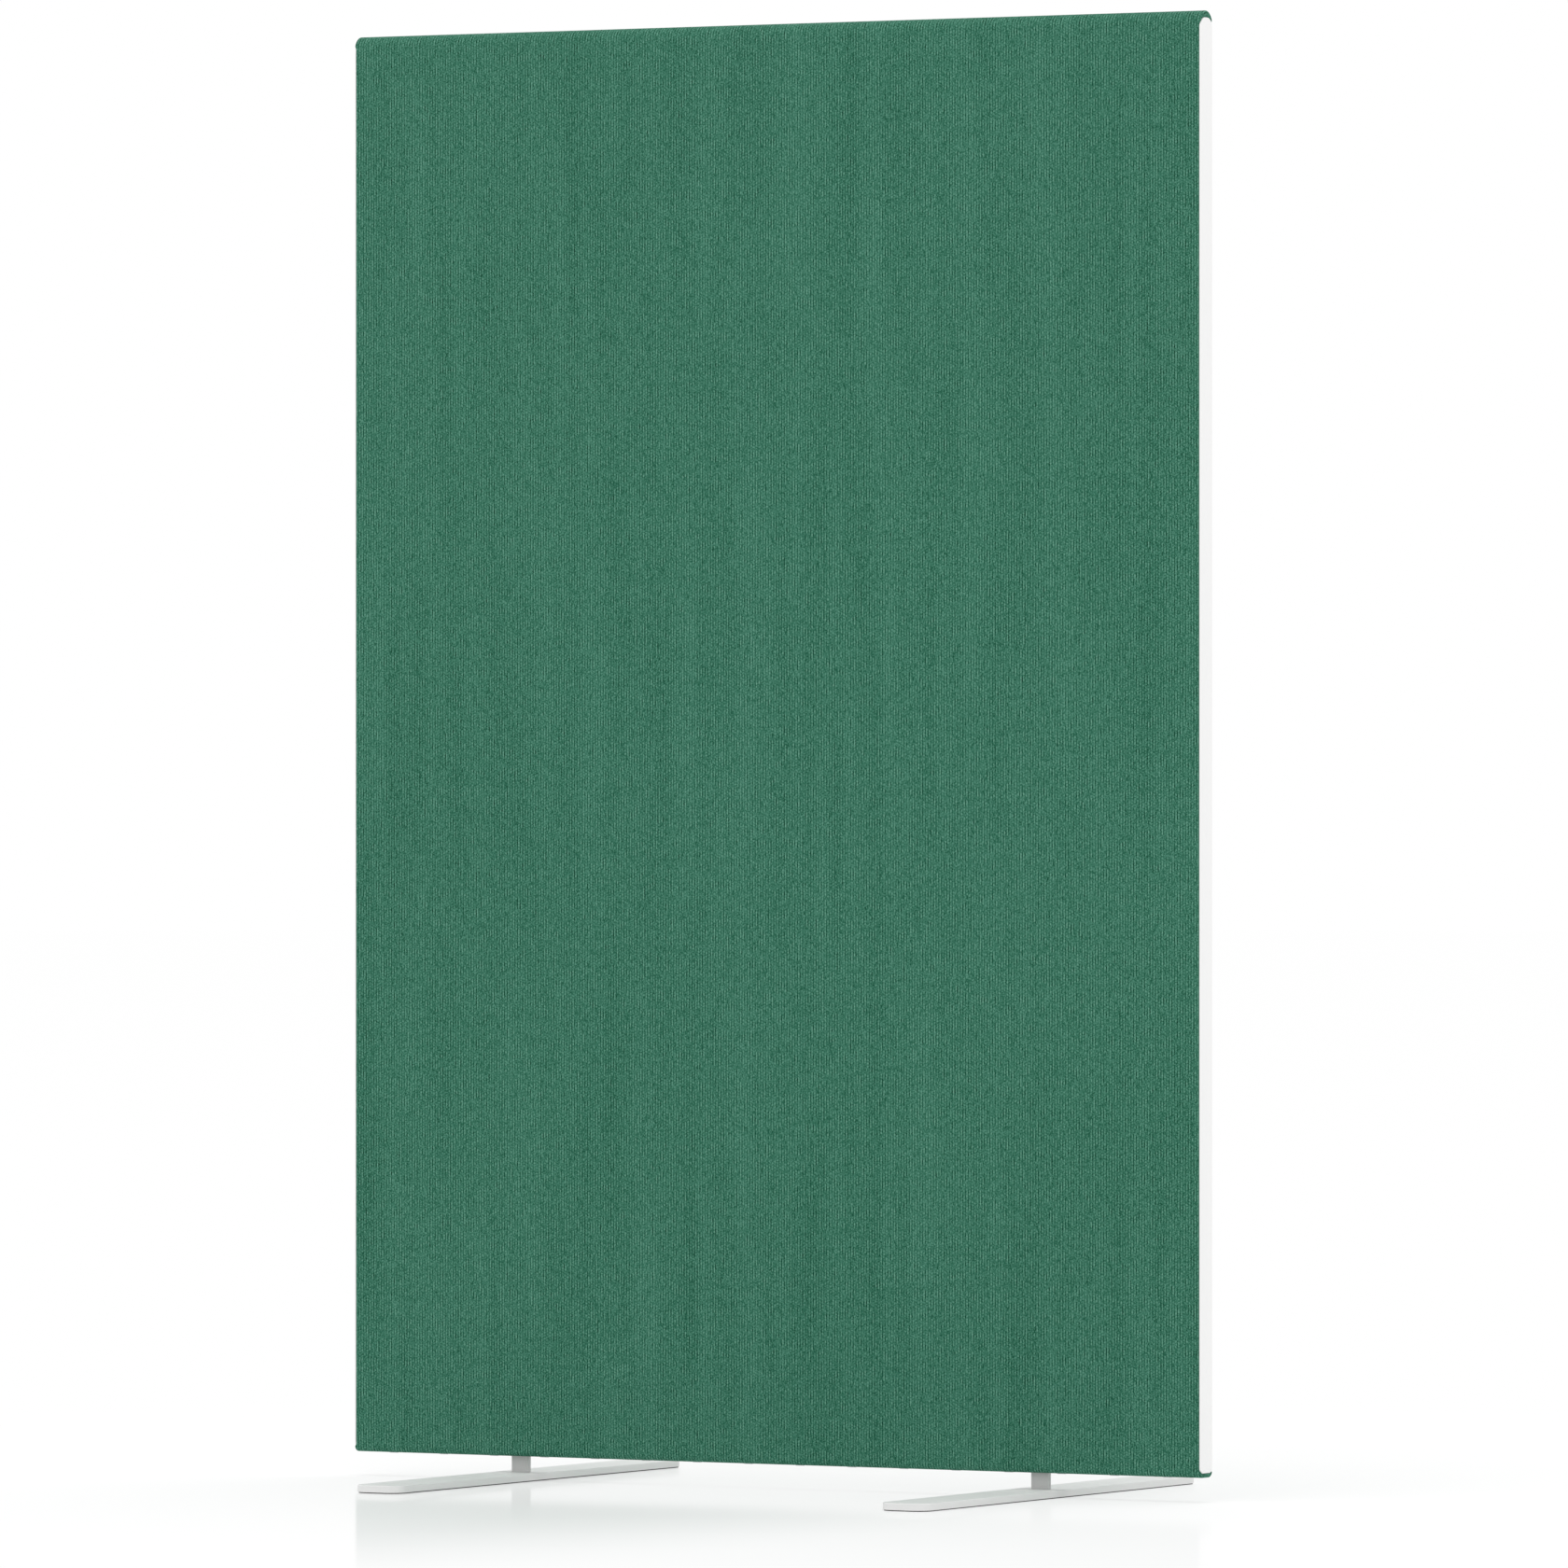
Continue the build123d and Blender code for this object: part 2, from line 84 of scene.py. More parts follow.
class Graph:
    """Adds the nodes of one tree and joins them."""

    def __init__(self, tree: bpy.types.NodeTree) -> None:
        """Takes the tree that the nodes go into, with its surface shader if it has one."""
        self.tree = tree
        self.surface = tree.nodes.get("Principled BSDF")

    def feed(self, socket: Socket, value: Any) -> None:
        """Gives an input a number or colour, or joins it to another node's output.

        Args:
            socket: The input.
            value: The number or colour, or the output to join it to.
        """
        if isinstance(value, Socket):
            self.tree.links.new(value, socket)
        else:
            socket.default_value = value

    def add(
        self, kind: str, inputs: Mapping[str | int, Any] | None = None, **options: Any
    ) -> Node:
        """Adds a node.

        Args:
            kind: The node's type.
            inputs: What its inputs hold or are joined to, by name or number.
            **options: The node's own options.

        Returns:
            The new node.
        """
        node = self.tree.nodes.new(kind)
        for name, value in options.items():
            setattr(node, name, value)
        for name, value in (inputs or {}).items():
            self.feed(node.inputs[name], value)
        return node

    def maths(self, operation: str, *values: Any) -> Socket:
        """Works out a number from others, with a Math node."""
        node = self.add("ShaderNodeMath", dict(enumerate(values)), operation=operation)
        return node.outputs[0]

    def wave(self, value: Socket, turn: float = math.tau) -> Socket:
        """Cosine wave of a value, which gains that turn with each 1."""
        return self.maths("COSINE", self.maths("MULTIPLY", value, turn))

    def total(self, *terms: tuple[Any, Any]) -> Socket:
        """Adds up pairs of a value and its weight.

        Args:
            *terms: Each value with its weight.

        Returns:
            The sum.
        """
        value, weight = terms[0]
        result = self.maths("MULTIPLY", value, weight)
        for value, weight in terms[1:]:
            result = self.maths("MULTIPLY_ADD", value, weight, result)
        return result

    def place(self, x: Any, y: Any, z: Any = 0.0) -> Socket:
        """Puts three numbers together as a place."""
        return self.add("ShaderNodeCombineXYZ", {0: x, 1: y, 2: z}).outputs[0]

    def axes(self, place: Socket) -> list[Socket]:
        """Takes a place apart into its three numbers."""
        return list(self.add("ShaderNodeSeparateXYZ", {0: place}).outputs)

    def stretched(self, place: Socket, scale: Triple) -> Socket:
        """Scales a place along its three axes."""
        node = self.add("ShaderNodeVectorMath", {0: place, 1: scale}, operation="MULTIPLY")
        return node.outputs[0]

    def noise(
        self, place: Socket, scale: Any, detail: float = 2.0, rough: float = 0.5
    ) -> Socket:
        """Smooth noise from 0 to 1.

        Args:
            place: Where it is read.
            scale: How many of its cells lie in a metre.
            detail: How many finer noises are added.
            rough: How strong each of these is beside the one before.

        Returns:
            The noise.
        """
        node = self.add(
            "ShaderNodeTexNoise",
            {"Vector": place, "Scale": scale, "Detail": detail, "Roughness": rough},
        )
        return node.outputs[0]

    def between(self, share: Any, first: Any, last: Any) -> Socket:
        """Blends two colours: 0 shows the first, 1 the last."""
        node = self.add("ShaderNodeMix", {0: share, 6: first, 7: last}, data_type="RGBA")
        return node.outputs[2]

    def mixed(self, share: Socket, first: Socket, last: Socket) -> Socket:
        """Mixes two surfaces: 0 shows the first, 1 the last."""
        return self.add("ShaderNodeMixShader", {0: share, 1: first, 2: last}).outputs[0]

    def ramp(self, share: Socket, stops: Iterable[tuple[float, Colour]]) -> Socket:
        """Colours a share by several stops.

        Args:
            share: A number from 0 to 1.
            stops: Each stop's share and colour, those for 0 and 1 first.

        Returns:
            The colour.
        """
        node = self.add("ShaderNodeValToRGB", {0: share})
        points = node.color_ramp.elements
        for number, (spot, colour) in enumerate(stops):
            point = points[number] if number < 2 else points.new(spot)
            point.position = spot
            point.color = colour
        return node.outputs[0]

    def spread(self, value: Socket, low: float, high: float) -> Socket:
        """Fits a share from 0 to 1 between two numbers."""
        return self.add("ShaderNodeMapRange", {0: value, 3: low, 4: high}).outputs[0]

    def soft(self, value: Socket, reach: Pair, first: Any, last: Any) -> Socket:
        """Goes softly from one number to another while a value grows.

        Args:
            value: The value.
            reach: Where the change starts and where it ends.
            first: The number before the change.
            last: The number after it.

        Returns:
            The number at that value.
        """
        return self.add(
            "ShaderNodeMapRange",
            {0: value, 1: reach[0], 2: reach[1], 3: first, 4: last},
            interpolation_type="SMOOTHSTEP",
        ).outputs[0]

    def bump(self, height: Socket, depth: float) -> Socket:
        """Turns a height from 0 to 1 into a normal, for a relief of that depth."""
        node = self.add("ShaderNodeBump", {"Height": height, "Distance": depth})
        return node.outputs[0]


class Effect(ABC):
    """Pattern that several finishes share, kept as one node group."""

    title: str
    takes: Mapping[str, float]
    gives: tuple[str, ...]

    @abstractmethod
    def draw(self, graph: Graph, taken: Sockets) -> tuple[Socket, ...]:
        """Builds the group's inside.

        Args:
            graph: The group's graph.
            taken: What the group takes, by name.

        Returns:
            What the group gives, in order.
        """

    def group(self) -> bpy.types.NodeTree:
        """Builds the node group when it is first asked for.

        Returns:
            The group.
        """
        known = bpy.data.node_groups.get(self.title)
        if known:
            return known
        tree = bpy.data.node_groups.new(self.title, "ShaderNodeTree")
        tree.interface.new_socket("Place", in_out="INPUT", socket_type="NodeSocketVector")
        for name, value in self.takes.items():
            socket = tree.interface.new_socket(
                name, in_out="INPUT", socket_type="NodeSocketFloat"
            )
            socket.default_value = value
        for name in self.gives:
            tree.interface.new_socket(name, in_out="OUTPUT", socket_type="NodeSocketFloat")
        graph = Graph(tree)
        taken = graph.add("NodeGroupInput").outputs
        given = graph.add("NodeGroupOutput").inputs
        for name, value in zip(self.gives, self.draw(graph, taken)):
            graph.feed(given[name], value)
        return tree

    def use(self, graph: Graph, place: Socket, **values: float) -> Sockets:
        """Places the group in a material.

        Args:
            graph: The material's graph.
            place: Where on the piece the pattern is read.
            **values: The group's numbers, with _ for each space in their names.

        Returns:
            The group's outputs by name.
        """
        node = graph.add("ShaderNodeGroup", node_tree=self.group())
        graph.feed(node.inputs["Place"], place)
        for name, value in values.items():
            node.inputs[name.replace("_", " ").title()].default_value = value
        return node.outputs


class RibbedWeave(Effect):
    """Upright ribs of short stitches, set like bricks and each made of small knots of yarn."""

    title = "ribbed weave"
    takes = {"Pitch": 3.125 * MM, "Unevenness": 1.0}
    gives = ("Tone", "Height")
    # Knots in a rib's width, then what each wave, tuft, yarn and streak adds to the tone.
    KNOTS = 3.4
    CREST = (0.75, 0.25)
    BELLY = (-0.35, 0.65)
    # The rib wave, brick and bulge weights paint shade into the tone: darker in the grooves and
    # between the knots, where the height falls.
    WAVE, BRICK, BULGE, MIDDLE = 0.118, 0.068, 0.12, 0.45
    STITCH, YARN, STRAND, KNOT, FIBRE = 0.42, 0.85, 0.12, 0.74, 0.6
    YARN_DRAWN = (0.6, 0.3, 1.0)
    STRAND_SCALE, FIBRE_SCALE, FIBRE_ROUGH = 1.7, 9.0, 0.7
    STREAK, STREAK_RIBS, STREAK_PACE, APART = 0.16, 5.0, 0.006, 7.3
    HEIGHTS = (0.2, 0.1, 0.3, 0.2, 0.4)

    @staticmethod
    def bricks(graph: Graph, across: Socket, along: Socket) -> tuple[Socket, ...]:
        """Divides the cloth into cells, each column half a cell off the next.

        Args:
            graph: The group's graph.
            across: Distance across the ribs, in cells.
            along: Distance along the ribs, in cells.

        Returns:
            Each cell's chance tone, and how near its ends a point lies.
        """
        column = graph.maths("ROUND", across)
        odd = graph.maths("FLOORED_MODULO", column, 2.0)
        level = graph.total((odd, -0.5), (along, 1.0), (0.5, 1.0))
        row = graph.maths("FLOOR", level)
        chance = graph.add(
            "ShaderNodeTexWhiteNoise", {"Vector": graph.place(column, row)}
        ).outputs[0]
        return graph.maths("SUBTRACT", chance, 0.5), graph.wave(level)

    def streaks(self, graph: Graph, rib: Socket, run: Socket) -> Socket:
        """Draws a tone that changes every few ribs and only slowly along them.

        Args:
            graph: The group's graph.
            rib: Distance across the ribs, in ribs.
            run: Distance along the ribs, on the same scale.

        Returns:
            The tone, from 0 to 1.
        """
        across = graph.maths("DIVIDE", rib, self.STREAK_RIBS)
        along = graph.maths("MULTIPLY", run, self.STREAK_PACE)
        column = graph.maths("FLOOR", across)
        left, right = (
            graph.noise(
                graph.place(graph.maths("MULTIPLY_ADD", column, self.APART, start), along), 1.0
            )
            for start in (0.0, self.APART)
        )
        share = graph.maths("FRACT", across)
        return graph.soft(share, (0.0, 1.0), left, right)

    def draw(self, graph: Graph, taken: Sockets) -> tuple[Socket, ...]:
        """Draws ribs and stitches, with a tone of its own for each stitch, knot and rib, and
        painted shade in the grooves.

        Args:
            graph: The group's graph.
            taken: What the group takes, by name.

        Returns:
            The cloth's tone, with painted shade in its grooves, and its height.
        """
        across, along, _ = graph.axes(taken["Place"])
        rib = graph.maths("DIVIDE", across, taken["Pitch"])
        run = graph.maths("DIVIDE", along, taken["Pitch"])
        wave = graph.wave(rib)
        brick = graph.maths("MULTIPLY", graph.wave(rib, math.pi), graph.wave(run))
        crest = graph.maths("MULTIPLY_ADD", wave, *self.CREST)
        stitch, ends = self.bricks(graph, rib, run)
        belly = graph.maths("MULTIPLY_ADD", ends, *self.BELLY)
        tuft = graph.maths("MULTIPLY", graph.maths("MULTIPLY", stitch, belly), crest)
        fine = graph.maths("MULTIPLY", rib, self.KNOTS)
        knot, tips = self.bricks(graph, fine, graph.maths("MULTIPLY", run, self.KNOTS))
        dome = graph.maths(
            "MULTIPLY",
            graph.maths("MULTIPLY_ADD", graph.wave(fine), 0.5, 0.5),
            graph.maths("MULTIPLY_ADD", tips, -0.5, 0.5),
        )
        bulge = graph.maths("SQRT", dome)
        flat = graph.place(rib, run)
        yarn, strand, fibre = (
            graph.maths("SUBTRACT", noise, 0.5)
            for noise in (
                graph.noise(graph.stretched(flat, self.YARN_DRAWN), 1.0),
                graph.noise(flat, self.STRAND_SCALE, rough=self.FIBRE_ROUGH),
                graph.noise(flat, self.FIBRE_SCALE, rough=self.FIBRE_ROUGH),
            )
        )
        odds = graph.total(
            (tuft, self.STITCH),
            (graph.maths("MULTIPLY", yarn, wave), self.YARN),
            (strand, self.STRAND),
            (graph.maths("MULTIPLY", knot, bulge), self.KNOT),
            (fibre, self.FIBRE),
        )
        # The wave, brick and bulge terms are painted shade that follows the height; tufts, yarn,
        # strands, knots, fibre and streaks are the cloth's own colour.
        tone = graph.total(
            (wave, self.WAVE),
            (brick, self.BRICK),
            (bulge, self.BULGE),
            (odds, taken["Unevenness"]),
            (self.streaks(graph, rib, run), self.STREAK),
            (self.MIDDLE - self.STREAK / 2, 1.0),
        )
        return tone, graph.total(*zip((wave, brick, bulge, odds, 1.0), self.HEIGHTS))


class WoodGrain(Effect):
    """Growth rings and fine pores, drawn out along the first axis."""

    title = "wood grain"
    takes = {"Ring Width": 4.0 * MM}
    gives = ("Tone", "Height")
    DRIFT_SCALE = (0.6, 9.0, 9.0)
    PORE_SCALE = (14.0, 900.0, 900.0)
    BLUSH_SCALE = (1.5, 20.0, 20.0)
    SIDE, DEEP, DRIFT = 0.9, 0.4, 0.05
    LATE_POWER = 2.4
    PORES = (1.0, 3.0, 0.65)
    TONES = (0.45, 0.45, 0.4, -0.2)
    HEIGHTS = (0.3, 0.7)

    def draw(self, graph: Graph, taken: Sockets) -> tuple[Socket, ...]:
        """Draws wavy bands for the rings, and noise drawn far out for the pores.

        Args:
            graph: The group's graph.
            taken: What the group takes, by name.

        Returns:
            The wood's tone and its height.
        """
        place = taken["Place"]
        drift = graph.noise(graph.stretched(place, self.DRIFT_SCALE), 1.0)
        _, side, deep = graph.axes(place)
        reach = graph.total((side, self.SIDE), (deep, self.DEEP), (drift, self.DRIFT))
        rings = graph.maths("DIVIDE", reach, taken["Ring Width"])
        late = graph.maths("POWER", graph.maths("FRACT", rings), self.LATE_POWER)
        pores = graph.noise(graph.stretched(place, self.PORE_SCALE), *self.PORES)
        blush = graph.noise(graph.stretched(place, self.BLUSH_SCALE), 1.0)
        tone = graph.total(*zip((late, pores, blush, 1.0), self.TONES))
        return tone, graph.total(*zip((late, pores), self.HEIGHTS))


class FineGrain(Effect):
    """Even small grain of a moulded, coated or plated skin, over slow cloudy changes."""

    title = "fine grain"
    takes = {"Grain Size": 1.0 * MM, "Cloud Size": 60.0 * MM}
    gives = ("Tone", "Height")
    CLOUD_DETAIL = 3.0
    GRAIN, CLOUD = 0.4, 0.6

    def draw(self, graph: Graph, taken: Sockets) -> tuple[Socket, ...]:
        """Draws two noises, one of them small and one large.

        Args:
            graph: The group's graph.
            taken: What the group takes, by name.

        Returns:
            The skin's tone and its height.
        """
        place = taken["Place"]
        grain = graph.noise(place, graph.maths("DIVIDE", 1.0, taken["Grain Size"]))
        cloud = graph.noise(
            place, graph.maths("DIVIDE", 1.0, taken["Cloud Size"]), self.CLOUD_DETAIL
        )
        return graph.total((grain, self.GRAIN), (cloud, self.CLOUD)), grain


class LooseFibre(Effect):
    """Tangled short fibres, as in felt and pressed board."""

    title = "loose fibre"
    takes = {"Fibre Size": 1.5 * MM}
    gives = ("Tone", "Height")
    CURL_SCALE, CURL = 90.0, (0.006, 0.006, 0.006)
    LAYS = ((1.0, 1.0, 0.25), (0.25, 1.0, 1.0))
    STRENGTH = 3.0
    CLUMPS = (140.0, 4.0, 0.6)
    TONES = (0.45, 0.75)
    HEIGHTS = (0.6, 0.4)

    def draw(self, graph: Graph, taken: Sockets) -> tuple[Socket, ...]:
        """Draws bent cells stretched two ways, over soft clumps.

        Args:
            graph: The group's graph.
            taken: What the group takes, by name.

        Returns:
            The tangle's tone and its height.
        """
        place = taken["Place"]
        scale = graph.maths("DIVIDE", 1.0, taken["Fibre Size"])
        curl = graph.add(
            "ShaderNodeTexNoise", {"Vector": place, "Scale": self.CURL_SCALE, "Detail": 2.0}
        ).outputs["Color"]
        bent = graph.add(
            "ShaderNodeVectorMath", {0: curl, 1: self.CURL, 2: place}, operation="MULTIPLY_ADD"
        ).outputs[0]
        strands = [
            graph.add(
                "ShaderNodeTexVoronoi",
                {"Vector": graph.stretched(bent, lay), "Scale": scale},
                feature="DISTANCE_TO_EDGE",
            ).outputs[0]
            for lay in self.LAYS
        ]
        tangle = graph.maths("MULTIPLY", graph.maths("MINIMUM", *strands), self.STRENGTH)
        clumps = graph.noise(place, *self.CLUMPS)
        tone = graph.total(*zip((tangle, clumps), self.TONES))
        return tone, graph.total(*zip((tangle, clumps), self.HEIGHTS))


class FloorDust(Effect):
    """Thin dust that thickens towards the floor."""

    title = "floor dust"
    takes = {"Reach": 0.12}
    gives = ("Mask",)
    CLOUD = (45.0, 4.0, 0.6)

    def draw(self, graph: Graph, taken: Sockets) -> tuple[Socket, ...]:
        """Draws a cloudy mask that fades with the height above the floor.

        Args:
            graph: The group's graph.
            taken: What the group takes, by name.

        Returns:
            The mask.
        """
        place = taken["Place"]
        height = graph.axes(place)[2]
        low = graph.add(
            "ShaderNodeMapRange", {0: height, 1: 0.0, 2: taken["Reach"], 3: 1.0, 4: 0.0}
        ).outputs[0]
        cloud = graph.noise(place, *self.CLOUD)
        return (graph.maths("MULTIPLY", low, cloud),)


WEAVE = RibbedWeave()
GRAIN = WoodGrain()
SKIN = FineGrain()
FIBRE = LooseFibre()
DUST = FloorDust()
FLOOR_DUST_COLOUR = (0.42, 0.40, 0.37, 1.0)


class Run(Enum):
    """Which way a piece of wood's grain runs, as the turn that lays it along X."""

    ALONG = (0.0, 0.0, 0.0)
    UPRIGHT = (0.0, math.pi / 2, 0.0)


@dataclass(frozen=True)
class Finish(ABC):
    """How one material looks."""

    title: str
    relief: float

    @abstractmethod
    def shade(self, graph: Graph) -> None:
        """Joins the finish's patterns to the surface shader.

        Args:
            graph: The material's graph.
        """

    def material(self) -> bpy.types.Material:
        """Builds the finish's material when it is first asked for.

        Returns:
            The material.
        """
        known = bpy.data.materials.get(self.title)
        if known:
            return known
        made = bpy.data.materials.new(self.title)
        made.use_nodes = True
        self.shade(Graph(made.node_tree))
        return made

    @staticmethod
    def on_piece(graph: Graph) -> Socket:
        """Place on the piece itself, in metres."""
        return graph.add("ShaderNodeTexCoord").outputs["Object"]

    def lay(self, graph: Graph, colour: Socket, pattern: Sockets, roughness: Pair) -> None:
        """Gives the surface shader a colour, and a pattern's gloss and relief.

        Args:
            graph: The material's graph.
            colour: The colour.
            pattern: The pattern's outputs.
            roughness: The roughness where the pattern's tone is 0, and where it is 1.
        """
        inputs = graph.surface.inputs
        graph.feed(inputs["Base Color"], colour)
        graph.feed(inputs["Roughness"], graph.spread(pattern["Tone"], *roughness))
        graph.feed(inputs["Normal"], graph.bump(pattern["Height"], self.relief))


@dataclass(frozen=True)
class RibbedCloth(Finish):
    """Ribbed acoustic cloth, flecked from stitch to stitch, with slow streaks along it and
    painted shade in its grooves.
    """

    relief: float = 0.35 * MM
    middle: Triple = (57.2, 116.3, 94.7)
    spread: Triple = (86.0, 76.0, 78.0)
    fall_off: float = 0.4
    unevenness: float = 1.0
    pitch: float = 3.125 * MM
    shine: float = 0.2
    map_name: str = "cloth"

    STOPS = (0.0, 1.0, 0.25, 0.4, 0.5, 0.6, 0.75)
    ROUGHNESS = (0.95, 0.8)

    def shade(self, graph: Graph) -> None:
        """Colours the ribs and stitches, with painted shade in their grooves, and lifts them
        along the cloth's own map.

        Args:
            graph: The material's graph.
        """
        place = graph.add("ShaderNodeUVMap", uv_map=self.map_name).outputs[0]
        weave = WEAVE.use(graph, place, pitch=self.pitch, unevenness=self.unevenness)
        stops = []
        for spot in self.STOPS:
            lift = 2 * spot - 1
            lift -= self.fall_off * lift**2
            levels = [max(c + s * lift, 0.0) for c, s in zip(self.middle, self.spread)]
            stops.append((spot, screen_colour(levels)))
        self.lay(graph, graph.ramp(weave["Tone"], stops), weave, self.ROUGHNESS)
        graph.surface.inputs["Specular IOR Level"].default_value = self.shine


@dataclass(frozen=True)
class SkinFinish(Finish):
    """Moulded, coated or plated skin: one colour, fine grain and slow cloudy changes."""

    light: Colour
    dark: Colour
    smooth: float
    rough: float
    grain_size: float
    metallic: float = 0.0
    dusty: float = 0.0
    shine: float = 0.5
    drawn: Triple = (1.0, 1.0, 1.0)

    def shade(self, graph: Graph) -> None:
        """Varies colour and gloss with the grain, and adds dust near the floor.

        Args:
            graph: The material's graph.
        """
        place = self.on_piece(graph)
        skin = SKIN.use(graph, graph.stretched(place, self.drawn), grain_size=self.grain_size)
        colour = graph.between(skin["Tone"], self.dark, self.light)
        if self.dusty:
            mask = graph.maths("MULTIPLY", DUST.use(graph, place)["Mask"], self.dusty)
            colour = graph.between(mask, colour, FLOOR_DUST_COLOUR)
        self.lay(graph, colour, skin, (self.smooth, self.rough))
        graph.surface.inputs["Metallic"].default_value = self.metallic
        graph.surface.inputs["Specular IOR Level"].default_value = self.shine


@dataclass(frozen=True)
class WoodFinish(Finish):
    """Bare planed wood."""

    early: Colour
    late: Colour
    run: Run
    ring_width: float

    ROUGHNESS = (0.7, 0.55)

    def shade(self, graph: Graph) -> None:
        """Draws rings and pores along the grain.

        Args:
            graph: The material's graph.
        """
        turned = graph.add(
            "ShaderNodeMapping", {"Vector": self.on_piece(graph), "Rotation": self.run.value}
        ).outputs[0]
        grain = GRAIN.use(graph, turned, ring_width=self.ring_width)
        colour = graph.between(grain["Tone"], self.early, self.late)
        self.lay(graph, colour, grain, self.ROUGHNESS)


@dataclass(frozen=True)
class FibreFinish(Finish):
    """Felt or pressed fibre board."""

    hollow: Colour
    crest: Colour
    fibre_size: float

    ROUGHNESS = (1.0, 0.85)

    def shade(self, graph: Graph) -> None:
        """Colours and lifts the tangle of fibres.

        Args:
            graph: The material's graph.
        """
        fibre = FIBRE.use(graph, self.on_piece(graph), fibre_size=self.fibre_size)
        colour = graph.between(fibre["Tone"], self.hollow, self.crest)
        self.lay(graph, colour, fibre, self.ROUGHNESS)


COVER_CLOTH = RibbedCloth("ribbed green cloth")
WHITE_STRIP = SkinFinish(
    "white strip plastic",
    light=(0.92, 0.92, 0.915, 1.0),
    dark=(0.88, 0.88, 0.875, 1.0),
    smooth=0.34,
    rough=0.44,
    grain_size=0.8 * MM,
    relief=0.01 * MM,
    dusty=0.05,
    drawn=(1.0, 1.0, 0.04),
)
PLATE_COAT = SkinFinish(
    "grey powder coat",
    light=(0.84, 0.84, 0.835, 1.0),
    dark=(0.78, 0.78, 0.775, 1.0),
    smooth=0.42,
    rough=0.54,
    grain_size=0.9 * MM,
    relief=0.03 * MM,
    dusty=0.06,
    shine=0.15,
)
# Darker copy of the plate coat: painted shade for the bars, which stand in the shade under the
# panel.
SHADED_BAR_COAT = replace(
    PLATE_COAT,
    title="grey powder coat on bars with painted shade",
    light=(0.64, 0.64, 0.635, 1.0),
    dark=(0.59, 0.59, 0.585, 1.0),
)
# The weld takes the bars' darker colours, so it carries the same painted shade.
SHADED_WELD_COAT = replace(SHADED_BAR_COAT, title="coated weld with painted shade", grain_size=1.6 * MM, relief=0.25 * MM)
ZINC = SkinFinish(
    "zinc plated steel",
    light=(0.68, 0.69, 0.70, 1.0),
    dark=(0.50, 0.51, 0.53, 1.0),
    smooth=0.25,
    rough=0.45,
    grain_size=0.5 * MM,
    relief=0.01 * MM,
    metallic=1.0,
)
SPRING_STEEL = SkinFinish(
    "tempered spring steel",
    light=(0.46, 0.47, 0.50, 1.0),
    dark=(0.30, 0.31, 0.35, 1.0),
    smooth=0.2,
    rough=0.38,
    grain_size=0.3 * MM,
    relief=0.005 * MM,
    metallic=1.0,
    drawn=(1.0, 1.0, 0.05),
)
PAD_RUBBER = SkinFinish(
    "foot pad rubber",
    light=(0.06, 0.06, 0.06, 1.0),
    dark=(0.035, 0.035, 0.035, 1.0),
    smooth=0.7,
    rough=0.9,
    grain_size=0.7 * MM,
    relief=0.05 * MM,
    dusty=0.2,
)


class Side(Enum):
    """Which end of the panel a piece is at, as its node's name starts."""

    LEFT = "left"
    RIGHT = "right"


@dataclass
class SubAssembly(ABC):
    """Pieces that are made and dressed together."""

    nodes: Mapping[str, bpy.types.Object]

    @abstractmethod
    def finishes(self) -> dict[str, Finish]:
        """The finish of each of the sub-assembly's nodes, by the node's name."""

    def dress(self) -> None:
        """Gives each node its finish, and reports it."""
        for name, finish in self.finishes().items():
            slots = self.nodes[name].data.materials
            slots.clear()
            slots.append(finish.material())
            LOG.info("%s: %s", name, finish.title)


@dataclass
class TimberFrame(SubAssembly):
    """Rails, stiles, foot blocks and dowels that carry the panel."""

    ring_width: float = 4.0 * MM
    dowel_ring_width: float = 1.5 * MM
    relief: float = 0.15 * MM

    def finishes(self) -> dict[str, Finish]:
        """Planed wood, with its grain along each piece.

        Returns:
            Each node's finish.
        """
        along = WoodFinish(
            "planed wood along",
            relief=self.relief,
            early=(0.68, 0.50, 0.30, 1.0),
            late=(0.46, 0.29, 0.14, 1.0),
            run=Run.ALONG,
            ring_width=self.ring_width,
        )
        upright = replace(along, title="planed wood upright", run=Run.UPRIGHT)
        dowel = replace(
            upright,
            title="dowel wood",
            early=(0.74, 0.60, 0.42, 1.0),
            late=(0.60, 0.44, 0.28, 1.0),
            ring_width=self.dowel_ring_width,
        )
        rails = ("top_rail", "middle_rail", "bottom_rail")
        posts = ("left_stile", "right_stile", "left_foot_block", "right_foot_block")
        return dict.fromkeys(rails, along) | dict.fromkeys(posts, upright) | {
            "frame_dowels": dowel
        }


@dataclass
class Filling(SubAssembly):
    """Sound boards in the frame's openings, and the felt round the whole frame."""

    board_fibre: float = 2.2 * MM
    felt_fibre: float = 1.2 * MM

    def finishes(self) -> dict[str, Finish]:
        """Pressed board and felt.

        Returns:
            Each node's finish.
        """
        board = FibreFinish(
            "pressed fibre board",
            hollow=(0.22, 0.23, 0.23, 1.0),
            crest=(0.46, 0.47, 0.46, 1.0),
            fibre_size=self.board_fibre,
            relief=0.4 * MM,
        )
        felt = FibreFinish(
            "grey felt",
            hollow=(0.36, 0.36, 0.35, 1.0),
            crest=(0.66, 0.66, 0.64, 1.0),
            fibre_size=self.felt_fibre,
            relief=0.5 * MM,
        )
        return {"upper_core": board, "lower_core": board, "front_felt": felt, "back_felt": felt}


@dataclass
class Fasteners(SubAssembly):
    """Screws of the sockets and springs, and the staples of the hem."""

    def finishes(self) -> dict[str, Finish]:
        """Zinc on all of them."""
        return dict.fromkeys(("socket_screws", "spring_screws", "hem_staples"), ZINC)


@dataclass
class EdgeStrip(SubAssembly):
    """White strip along one end of the panel."""

    side: Side

    def finishes(self) -> dict[str, Finish]:
        """Plastic, with faint lines where it was drawn through its die."""
        return {f"{self.side.value}_edge_strip": WHITE_STRIP}


